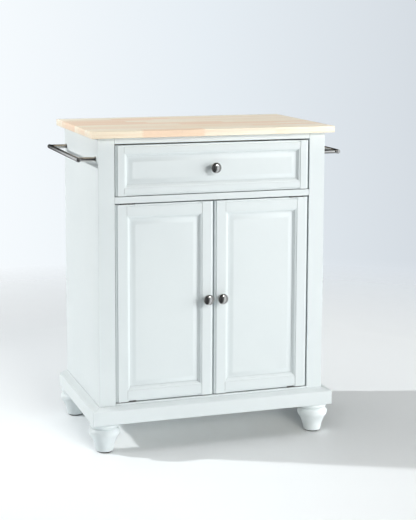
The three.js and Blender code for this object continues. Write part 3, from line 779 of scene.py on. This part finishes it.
def rail(centre, half_width, half_height, stile_flat, rail_flat, edge):
    """A rail between the stiles, coped over their moulded edges."""
    rings = []
    for end in (-1, 1):
        ring = []
        for inward, depth in frame_profile(rail_flat):
            past_flat = max(0.0, inward - rail_flat)
            reach = half_width - stile_flat - past_flat - RAIL_GAP
            ring.append((centre.x + end * reach, centre.y + depth,
                         centre.z + edge * (half_height - inward)))
        rings.append(ring)
    return skin(rings)


def raised_panel(centre, half_width, half_height):
    """A panel with a tongue all round and a raised field. The sizes are the frame's opening."""
    tongue_front = GROOVE_FRONT + JOINT_GAP
    tongue_back = GROOVE_BACK - JOINT_GAP
    slope = soft_slope((PANEL_LAND, tongue_front), (PANEL_LAND + PANEL_BEVEL, PANEL_SETBACK), 12)
    field = (PANEL_LAND + PANEL_BEVEL + SUPPORT, PANEL_SETBACK)
    steps = [(-PANEL_TONGUE, tongue_back), (-PANEL_TONGUE, tongue_front), *slope, field]
    return skin([[(centre.x + u * (half_width - inset), centre.y + depth,
                   centre.z + v * (half_height - inset))
                  for u, v in ((-1, -1), (1, -1), (1, 1), (-1, 1))] for inset, depth in steps])


def hinge_pockets(side):
    """Pockets for the hinge leaves, as a solid to cut from a door's stile or rail."""
    bm = bmesh.new()
    clear = Vector((0.5, 0.5, 0.3)) * MM
    for level in ("upper", "lower"):
        low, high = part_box(f"hinge_door_leaf_{side}_{level}")
        box(low - clear, high + clear, bm)
    return bm


def build_door(side, sign):
    """A door, trimmed at its edges, with pockets for its hinge leaves."""
    body = f"{side}_door"
    stile_low, stile_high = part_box(f"{side}_door_hinge_stile")
    latch_low, latch_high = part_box(f"{side}_door_latch_stile")
    low = Vector(map(min, stile_low, latch_low))
    high = Vector(map(max, stile_high, latch_high))
    high.z -= DOOR_TOP_TRIM
    low.z -= DOOR_FOOT_DROP
    if sign > 0:
        low.x += LATCH_TRIM
        high.x -= HINGE_TRIM[side]
    else:
        low.x += HINGE_TRIM[side]
        high.x -= LATCH_TRIM
    centre = Vector(middle(low, high))
    centre.y = low.y
    half_width = (high.x - low.x) / 2
    half_height = (high.z - low.z) / 2
    for part, edge in (("hinge_stile", sign), ("latch_stile", -sign)):
        bm = stile(centre, half_width, half_height, DOOR_STILE_FLAT, edge)
        if part == "hinge_stile":
            bm = cut(bm, hinge_pockets(side))
        add_piece(f"{body}_{part}_milled", bm, PAINT, body, [f"{body}_{part}"])
    for part, edge in (("bottom_rail", -1), ("top_rail", 1)):
        bm = rail(centre, half_width, half_height, DOOR_STILE_FLAT, DOOR_RAIL_FLAT, edge)
        bm = cut(bm, hinge_pockets(side))
        add_piece(f"{body}_{part}_milled", bm, PAINT, body, [f"{body}_{part}"])
    bm = raised_panel(centre, half_width - DOOR_STILE_FLAT - STICKING_WIDTH,
                      half_height - DOOR_RAIL_FLAT - STICKING_WIDTH)
    add_piece(f"{body}_panel_raised", bm, PAINT, body, [f"{body}_panel"])


def build_drawer_front():
    """The drawer's front, framed as the doors are."""
    low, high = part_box("drawer_front")
    x, _, z = middle(low, high)
    centre = Vector((x, low.y, z - DRAWER_DROP))
    half_width = (high.x - low.x) / 2
    half_height = (high.z - low.z) / 2
    for side, edge in SIDES:
        bm = stile(centre, half_width, half_height, DRAWER_STILE_FLAT, edge)
        add_piece(f"drawer_front_stile_{side}", bm, PAINT, "drawer")
    for name, edge in (("bottom", -1), ("top", 1)):
        bm = rail(centre, half_width, half_height, DRAWER_STILE_FLAT, DRAWER_RAIL_FLAT, edge)
        add_piece(f"drawer_front_{name}_rail", bm, PAINT, "drawer")
    bm = raised_panel(centre, half_width - DRAWER_STILE_FLAT - STICKING_WIDTH,
                      half_height - DRAWER_RAIL_FLAT - STICKING_WIDTH)
    add_piece("drawer_front_panel", bm, PAINT, "drawer", ["drawer_front"])


for side, sign in SIDES:
    build_door(side, sign)
build_drawer_front()

# ---------------- slide rollers


def build_roller(node, body):
    """A nylon roller with a rounded tread and a hub, turning on a steel axle."""
    low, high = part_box(node)
    radius = (high.z - low.z) / 2
    half = (high.x - low.x) / 2
    bore = 2.4 * MM
    tread = rounded_step((radius - 1.2 * MM, -half), (radius, 1.2 * MM - half), 4)
    profile = [(bore, -half), (4.4 * MM, -half), (4.8 * MM, 0.6 * MM - half),
               (radius - 3 * MM, 0.6 * MM - half), (radius - 2.4 * MM, -half), *tread]
    outline = [*profile, *[(r, -h) for r, h in reversed(profile)]]
    bm = hollow_turned(outline, 48, frame_of(middle(low, high), (1, 0, 0)))
    add_piece(f"{node}_moulded", bm, NYLON, body, [node], smooth=40)


for end in ("front", "rear"):
    for side, _ in SIDES:
        build_roller(f"slide_{end}_roller_{side}", f"{end}_roller_{side}")

# ---------------- screws and small fittings

PIN_FROM_END = 5 * MM         # the hinge pin's axis, from the end of the leaf
LEAF_THICKNESS = 2.1 * MM
SLIDE_SHEET = 1.2 * MM


def screw_head(radius, rise, recess):
    """The mesh of a screw's head with a cross recess, its seat at the origin, facing +Z."""
    seat = -recess - 0.6 * MM
    head = turned([(0, seat), (radius, seat), *rounded_step((radius, 0), (0, rise), 6)], 32)
    arm = radius * 0.55
    width = radius * 0.13
    for x, y in ((arm, width), (width, arm)):
        head = cut(head, box((-x, -y, rise - recess), (x, y, rise + 1 * MM)))
    return make_mesh("screw_head", head)


PAN_HEAD = screw_head(3.4 * MM, 1.5 * MM, 0.9 * MM)
FLAT_HEAD = screw_head(3.6 * MM, 0.2 * MM, 0.9 * MM)
TRUSS_HEAD = screw_head(5.0 * MM, 1.8 * MM, 1.1 * MM)


def add_screws(name, head, places, direction, body, material=ZINC):
    """Copies of a screw's head at the places, all facing one way and each turned at random."""
    bm = bmesh.new()
    rng = random.Random(name)
    for place in places:
        known = set(bm.verts)
        bm.from_mesh(head)
        turn = Matrix.Rotation(rng.uniform(0, math.pi), 4, "Z")
        fresh = [v for v in bm.verts if v not in known]
        bmesh.ops.transform(bm, matrix=frame_of(place, direction) @ turn, verts=fresh)
    add_piece(name, bm, material, body)


def add_hinge_screws(side, sign):
    """Two flat-head screws in each hinge leaf."""
    for level, up in (("upper", 1), ("lower", -1)):
        for leaf, body, facing in (("case", "cabinet", -up), ("door", f"{side}_door", up)):
            low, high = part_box(f"hinge_{leaf}_leaf_{side}_{level}")
            _, y, _ = middle(low, high)
            case_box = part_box(f"hinge_case_leaf_{side}_{level}")
            pin_x = inner_side(*case_box, -sign) - sign * PIN_FROM_END
            z = low.z if up > 0 else high.z
            if leaf == "door":
                z += up * LEAF_THICKNESS
            places = [(pin_x - sign * reach * MM, y, z) for reach in (15, 31)]
            add_screws(f"hinge_{leaf}_screws_{side}_{level}", FLAT_HEAD, places, (0, 0, facing),
                       body, DARK_STEEL)


def add_slide_screws(side, sign):
    """Two screws in each end tab of a channel, and three along its runner."""
    low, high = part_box(f"slide_channel_{side}")
    tab_x = sign * (max(abs(low.x), abs(high.x)) - 8 * MM)
    for end, y, facing in (("front", low.y + SLIDE_SHEET, 1), ("rear", high.y - SLIDE_SHEET, -1)):
        places = [(tab_x, y, low.z + share * (high.z - low.z)) for share in (0.28, 0.72)]
        add_screws(f"slide_{end}_screws_{side}", PAN_HEAD, places, (0, facing, 0), "cabinet")
    low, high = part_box(f"slide_runner_{side}")
    web_x = inner_side(low, high, sign) + sign * SLIDE_SHEET
    places = [(web_x, low.y + share * (high.y - low.y), low.z + 9 * MM)
              for share in (0.14, 0.5, 0.82)]
    add_screws(f"slide_runner_screws_{side}", FLAT_HEAD, places, (sign, 0, 0), "drawer")


def add_knob_screws():
    """The heads of the knobs' screws, inside the doors and the drawer."""
    fronts = [(f"{side}_door", f"{side}_door_latch_stile") for side, _ in SIDES]
    for body, front in [*fronts, ("drawer", "drawer_front")]:
        x, _, z = middle(*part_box(f"{body}_knob"))
        _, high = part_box(front)
        add_screws(f"{body}_knob_screw", TRUSS_HEAD, [(x, high.y, z)], (0, 1, 0), body)


def add_post_screws(side, sign):
    """Flat-head screws through the side panel into the towel bar's posts."""
    inner_x = inner_side(*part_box(f"side_panel_{side}"), sign)
    posts = [middle(*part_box(f"towel_post_{end}_{side}")) for end in ("front", "rear")]
    places = [(inner_x, y, z) for _, y, z in posts]
    add_screws(f"towel_post_screws_{side}", FLAT_HEAD, places, (-sign, 0, 0), "cabinet")


for side, sign in SIDES:
    add_hinge_screws(side, sign)
    add_slide_screws(side, sign)
    add_post_screws(side, sign)
add_knob_screws()


def add_catch_fittings():
    """Pole plates and screws on the magnetic catch, and a strike plate on each door."""
    low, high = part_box("magnetic_catch")
    centre_x, _, _ = middle(low, high)
    bm = bmesh.new()
    for sign in (-1, 1):
        for reach in (6 * MM, 18 * MM):
            x = centre_x + sign * reach
            box((x - 1.5 * MM, low.y - 0.12 * MM, low.z + 1.5 * MM),
                (x + 1.5 * MM, low.y + 3 * MM, low.z + 12 * MM), bm)
    add_piece("catch_pole_plates", bm, ZINC, "cabinet", ease=0.1 * MM)
    places = [(centre_x + sign * 12 * MM, high.y, low.z + 20 * MM) for sign in (-1, 1)]
    add_screws("catch_screws", PAN_HEAD, places, (0, 1, 0), "cabinet")
    for side, sign in SIDES:
        door_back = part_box(f"{side}_door_latch_stile")[1].y
        inner, outer = sorted((sign * 4 * MM, sign * 23 * MM))
        bm = box((inner, door_back - 0.8 * MM, low.z + 1.5 * MM),
                 (outer, door_back + 0.25 * MM, low.z + 12 * MM))
        add_piece(f"{side}_door_strike_plate", bm, ZINC, f"{side}_door",
                  ease=0.15 * MM)


def add_foot_blocks():
    """Pine blocks glued in the base's corners, which the feet's bolts go into."""
    panel_low, panel_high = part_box("bottom_panel")
    size = Vector((62, 58, 0)) * MM
    base_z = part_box("side_panel_left")[0].z
    for side, sign in SIDES:
        for end, y in (("front", panel_low.y + 0.2 * MM), ("rear", panel_high.y - size.y - 0.2 * MM)):
            x0, x1 = sorted((sign * panel_high.x, sign * (panel_high.x - size.x)))
            bm = box((x0, y, base_z + 0.3 * MM), (x1, y + size.y, panel_low.z - 0.2 * MM))
            add_piece(f"foot_block_{end}_{side}", bm, RAW_PINE, "cabinet", ease=1 * MM)


def add_back_nails():
    """Panel pins round the edge of the plywood back."""
    low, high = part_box("back_panel")
    inset = 7 * MM
    columns = [low.x + inset + (high.x - low.x - 2 * inset) * i / 5 for i in range(6)]
    rows = [low.z + inset + (high.z - low.z - 2 * inset) * i / 7 for i in range(8)]
    places = [(x, z) for x in columns for z in (rows[0], rows[-1])]
    places += [(x, z) for x in (columns[0], columns[-1]) for z in rows[1:-1]]
    bm = bmesh.new()
    for x, z in places:
        turned(in_mm((0, -0.6), (1.6, -0.6), (1.6, 0.1), (1.1, 0.35), (0, 0.4)), 16,
               frame_of((x, high.y, z), (0, 1, 0)), bm)
    add_piece("back_panel_nails", bm, ZINC, "cabinet")


add_catch_fittings()
add_foot_blocks()
add_back_nails()

# ---------------- camera


def add_camera():
    """A long lens a little above the top, to the left of the front."""
    data = bpy.data.cameras.new("camera")
    camera = bpy.data.objects.new("camera", data)
    bpy.context.scene.collection.objects.link(camera)
    camera.location = (-1.2034, -3.7321, 1.2471)
    yaw, pitch, roll = (math.radians(a) for a in (-18.563, -7.766, 0.194))
    turn = (Matrix.Rotation(yaw, 4, "Z") @ Matrix.Rotation(math.pi / 2 + pitch, 4, "X")
            @ Matrix.Rotation(roll, 4, "Z"))
    camera.rotation_euler = turn.to_euler()
    data.lens = 92.03
    data.shift_y = -0.1346
    data.clip_end = 100
    bpy.context.scene.camera = camera


add_camera()

# ---------------- stage and light

FADE_START = 1.3              # the floor fades out between these distances from the object
FADE_END = 2.6
FLOOR_RADIUS = 2.7
DOME_RADIUS = 12.0


def add_stage_object(name, bm, material):
    mesh = make_mesh(name, bm)
    mesh.shade_smooth()
    mesh.materials.append(material)
    obj = bpy.data.objects.new(name, mesh)
    bpy.context.scene.collection.objects.link(obj)
    return obj


def floor_material():
    """White floor that fades out to the backdrop away from the object."""
    n = Nodes("studio_floor", Base_Color=(0.90, 0.915, 0.925, 1.0), Roughness=0.9,
              Specular_IOR_Level=0.0)
    distance = n.add("ShaderNodeVectorMath", {0: n.coords}, operation="LENGTH").outputs["Value"]
    fade = n.spread(distance, FADE_START, FADE_END, 1.0, 0.0)
    n.feed(n.shader.inputs["Alpha"], fade)
    return n.material


def backdrop_material():
    """A pale glow, brighter to the left of someone facing the doors and paler near the floor."""
    n = Nodes("studio_backdrop")
    place = n.spread(n.along(n.coords, (0.948, -0.318, 0.0)), -2.6, 2.6)
    colour = n.ramp(place, [
        (0.0, (0.930, 0.970, 1.000)),
        (0.5, (0.800, 0.860, 0.910)),
        (1.0, (0.670, 0.720, 0.770)),
    ])
    horizon = n.ramp(place, [
        (0.0, (0.975, 0.990, 1.000)),
        (0.5, (0.920, 0.950, 0.975)),
        (1.0, (0.900, 0.955, 0.995)),
    ])
    wall = n.spread(n.component(n.coords, 2), -2.9, -1.7)
    shade = n.blend(wall, horizon, colour)
    glow = n.add("ShaderNodeEmission", {"Color": shade})
    n.feed(n.tree.nodes["Material Output"].inputs["Surface"], glow.outputs[0])
    return n.material


def add_stage():
    """A white disc for the floor, and a glowing dome that only the camera sees."""
    disc = bmesh.new()
    bmesh.ops.create_circle(disc, cap_ends=True, radius=FLOOR_RADIUS, segments=96)
    floor = add_stage_object("studio_floor", disc, floor_material())
    dome = bmesh.new()
    bmesh.ops.create_uvsphere(dome, u_segments=64, v_segments=32, radius=DOME_RADIUS)
    backdrop = add_stage_object("studio_backdrop", dome, backdrop_material())
    backdrop.visible_diffuse = False
    backdrop.visible_glossy = False
    backdrop.visible_shadow = False
    backdrop.visible_transmission = False
    floor.visible_glossy = False
    return floor


def add_area_light(name, place, size, watts, colour, target=(0, 0, 0.45)):
    """A soft box at a place, turned to the target. Size is its width and height."""
    data = bpy.data.lights.new(name, "AREA")
    data.shape = "RECTANGLE"
    data.size, data.size_y = size
    data.energy = watts
    data.color = colour
    light = bpy.data.objects.new(name, data)
    bpy.context.scene.collection.objects.link(light)
    light.location = place
    away = Vector(place) - Vector(target)
    light.rotation_euler = away.to_track_quat("Z", "Y").to_euler()
    return light


def light_only(light, objects, state="INCLUDE"):
    """Limits a light to these objects, or to all but these."""
    receivers = bpy.data.collections.new(f"{light.name}_receivers")
    for obj in objects:
        receivers.objects.link(obj)
    light.light_linking.receiver_collection = receivers
    for link in receivers.collection_objects:
        link.light_linking.link_state = state


KEY_PLACE = (-3.0, 1.1, 1.7)
WARM_WHITE = (1.0, 0.99, 0.975)
AIR_STRENGTH = 0.23

FLOOR_LIGHTS = (              # name, place, size, watts, colour
    ("key_on_floor", KEY_PLACE, (0.12, 0.12), 7.4, (0.96, 0.99, 1.0)),
    ("fill_on_floor", (-0.5, -0.3, 3.2), (2.6, 2.6), 4.4, (0.965, 0.990, 1.0)),
    ("low_on_floor", (0.2, -3.4, 1.0), (1.2, 1.2), 6.3, (1.0, 0.985, 0.930)),
    ("rear_on_floor", (-2.0, 2.5, 2.2), (1.4, 1.4), 0.805, (1.0, 1.0, 0.985)),
)
OBJECT_LIGHTS = (             # name, place, size, watts, whether it shows in reflections
    ("key_left", KEY_PLACE, (0.06, 0.06), 65.8, True),
    ("front_right", (1.10, -2.88, 1.95), (0.16, 0.16), 29.7, True),
    ("front_soft", (2.4, -2.0, 1.0), (3.0, 1.8), 60.9, False),
    ("overhead", (-0.5, 0.2, 3.4), (2.4, 2.4), 50.1, False),
)
TOP_CENTRE = (0, 0, 0.9)
SHADED_FOOT = (0.33, -0.2, 0.06)
PIECE_LIGHTS = (              # piece, name, place, size, watts, colour, target
    ("butcher_block_staves", "wood_edge", (-2.6, -2.2, 0.95), (0.5, 0.2), 12.9, WARM_WHITE,
     TOP_CENTRE),
    ("butcher_block_staves", "wood_sheen", (1.0, 3.1, 1.2), (4.0, 1.0), 10.2, (0.93, 0.975, 1.0),
     TOP_CENTRE),
    ("foot_front_right_turned", "foot_bounce", (-0.9, -1.2, 0.25), (0.5, 0.3), 2.8,
     (1.0, 0.96, 0.88), SHADED_FOOT),
)


def no_falloff(light):
    """Lights near and far places alike."""
    light.data.use_nodes = True
    n = Tree(light.data.node_tree)
    falloff = n.add("ShaderNodeLightFalloff", {"Strength": 1.0})
    n.feed(n.tree.nodes["Emission"].inputs["Strength"], falloff.outputs["Constant"])


def add_lights(floor):
    """Lights for the floor alone, for all but the floor, and for single pieces."""
    for name, place, size, watts, colour in FLOOR_LIGHTS:
        light = add_area_light(name, place, size, watts, colour)
        no_falloff(light)
        light_only(light, [floor])
    for name, place, size, watts, reflected in OBJECT_LIGHTS:
        light = add_area_light(name, place, size, watts, WARM_WHITE)
        light_only(light, [floor], "EXCLUDE")
        light.visible_glossy = reflected
    for piece, name, place, size, watts, colour, target in PIECE_LIGHTS:
        light = add_area_light(name, place, size, watts, colour, target)
        light_only(light, [bpy.data.objects[piece]])
    bpy.data.objects["wood_sheen"].visible_diffuse = False
    bpy.data.objects["foot_bounce"].visible_glossy = False


def add_air():
    """The air round the stage, by direction, so that metal has dark and light to reflect.

    In front: grey at the left that darkens, a bright upright band, then a softer glow.
    Behind: grey at the left, a bright upright band, a dark stretch, then grey. Above: dark.
    """
    world = bpy.data.worlds.new("studio_air")
    world.use_nodes = True
    n = Tree(world.node_tree)
    direction = n.add("ShaderNodeTexCoord").outputs["Generated"]

    def greys(axis, stops):
        return n.ramp(n.spread(n.along(direction, axis), -1.0, 1.0), [
            ((place + 1) / 2, (grey * 0.93, grey * 0.975, grey)) for place, grey in stops])

    front = greys((0.875, 0.485, 0.0), [
        (-1.0, 0.75), (-0.75, 0.45), (-0.60, 0.20), (-0.30, 0.34), (-0.18, 0.20), (-0.10, 4.6),
        (0.10, 4.4), (0.24, 2.4), (1.0, 1.6)])
    behind = greys((0.97, 0.23, 0.0), [
        (-1.0, 0.75), (-0.45, 0.75), (-0.30, 3.6), (0.01, 3.8), (0.07, 0.10), (0.55, 0.12),
        (0.75, 0.85), (1.0, 0.85)])
    rear = n.spread(n.along(direction, (0.0, 1.0, 0.0)), -0.05, 0.05)
    level = n.blend(rear, front, behind)
    above = n.spread(n.along(direction, (0.0, 0.0, 1.0)), 0.45, 0.62)
    shade = n.blend(above, level, (0.05, 0.055, 0.06))
    background = n.tree.nodes["Background"]
    n.feed(background.inputs["Color"], shade)
    n.feed(background.inputs["Strength"], AIR_STRENGTH)
    bpy.context.scene.world = world


add_lights(add_stage())
add_air()
bpy.context.scene.view_settings.view_transform = "Standard"
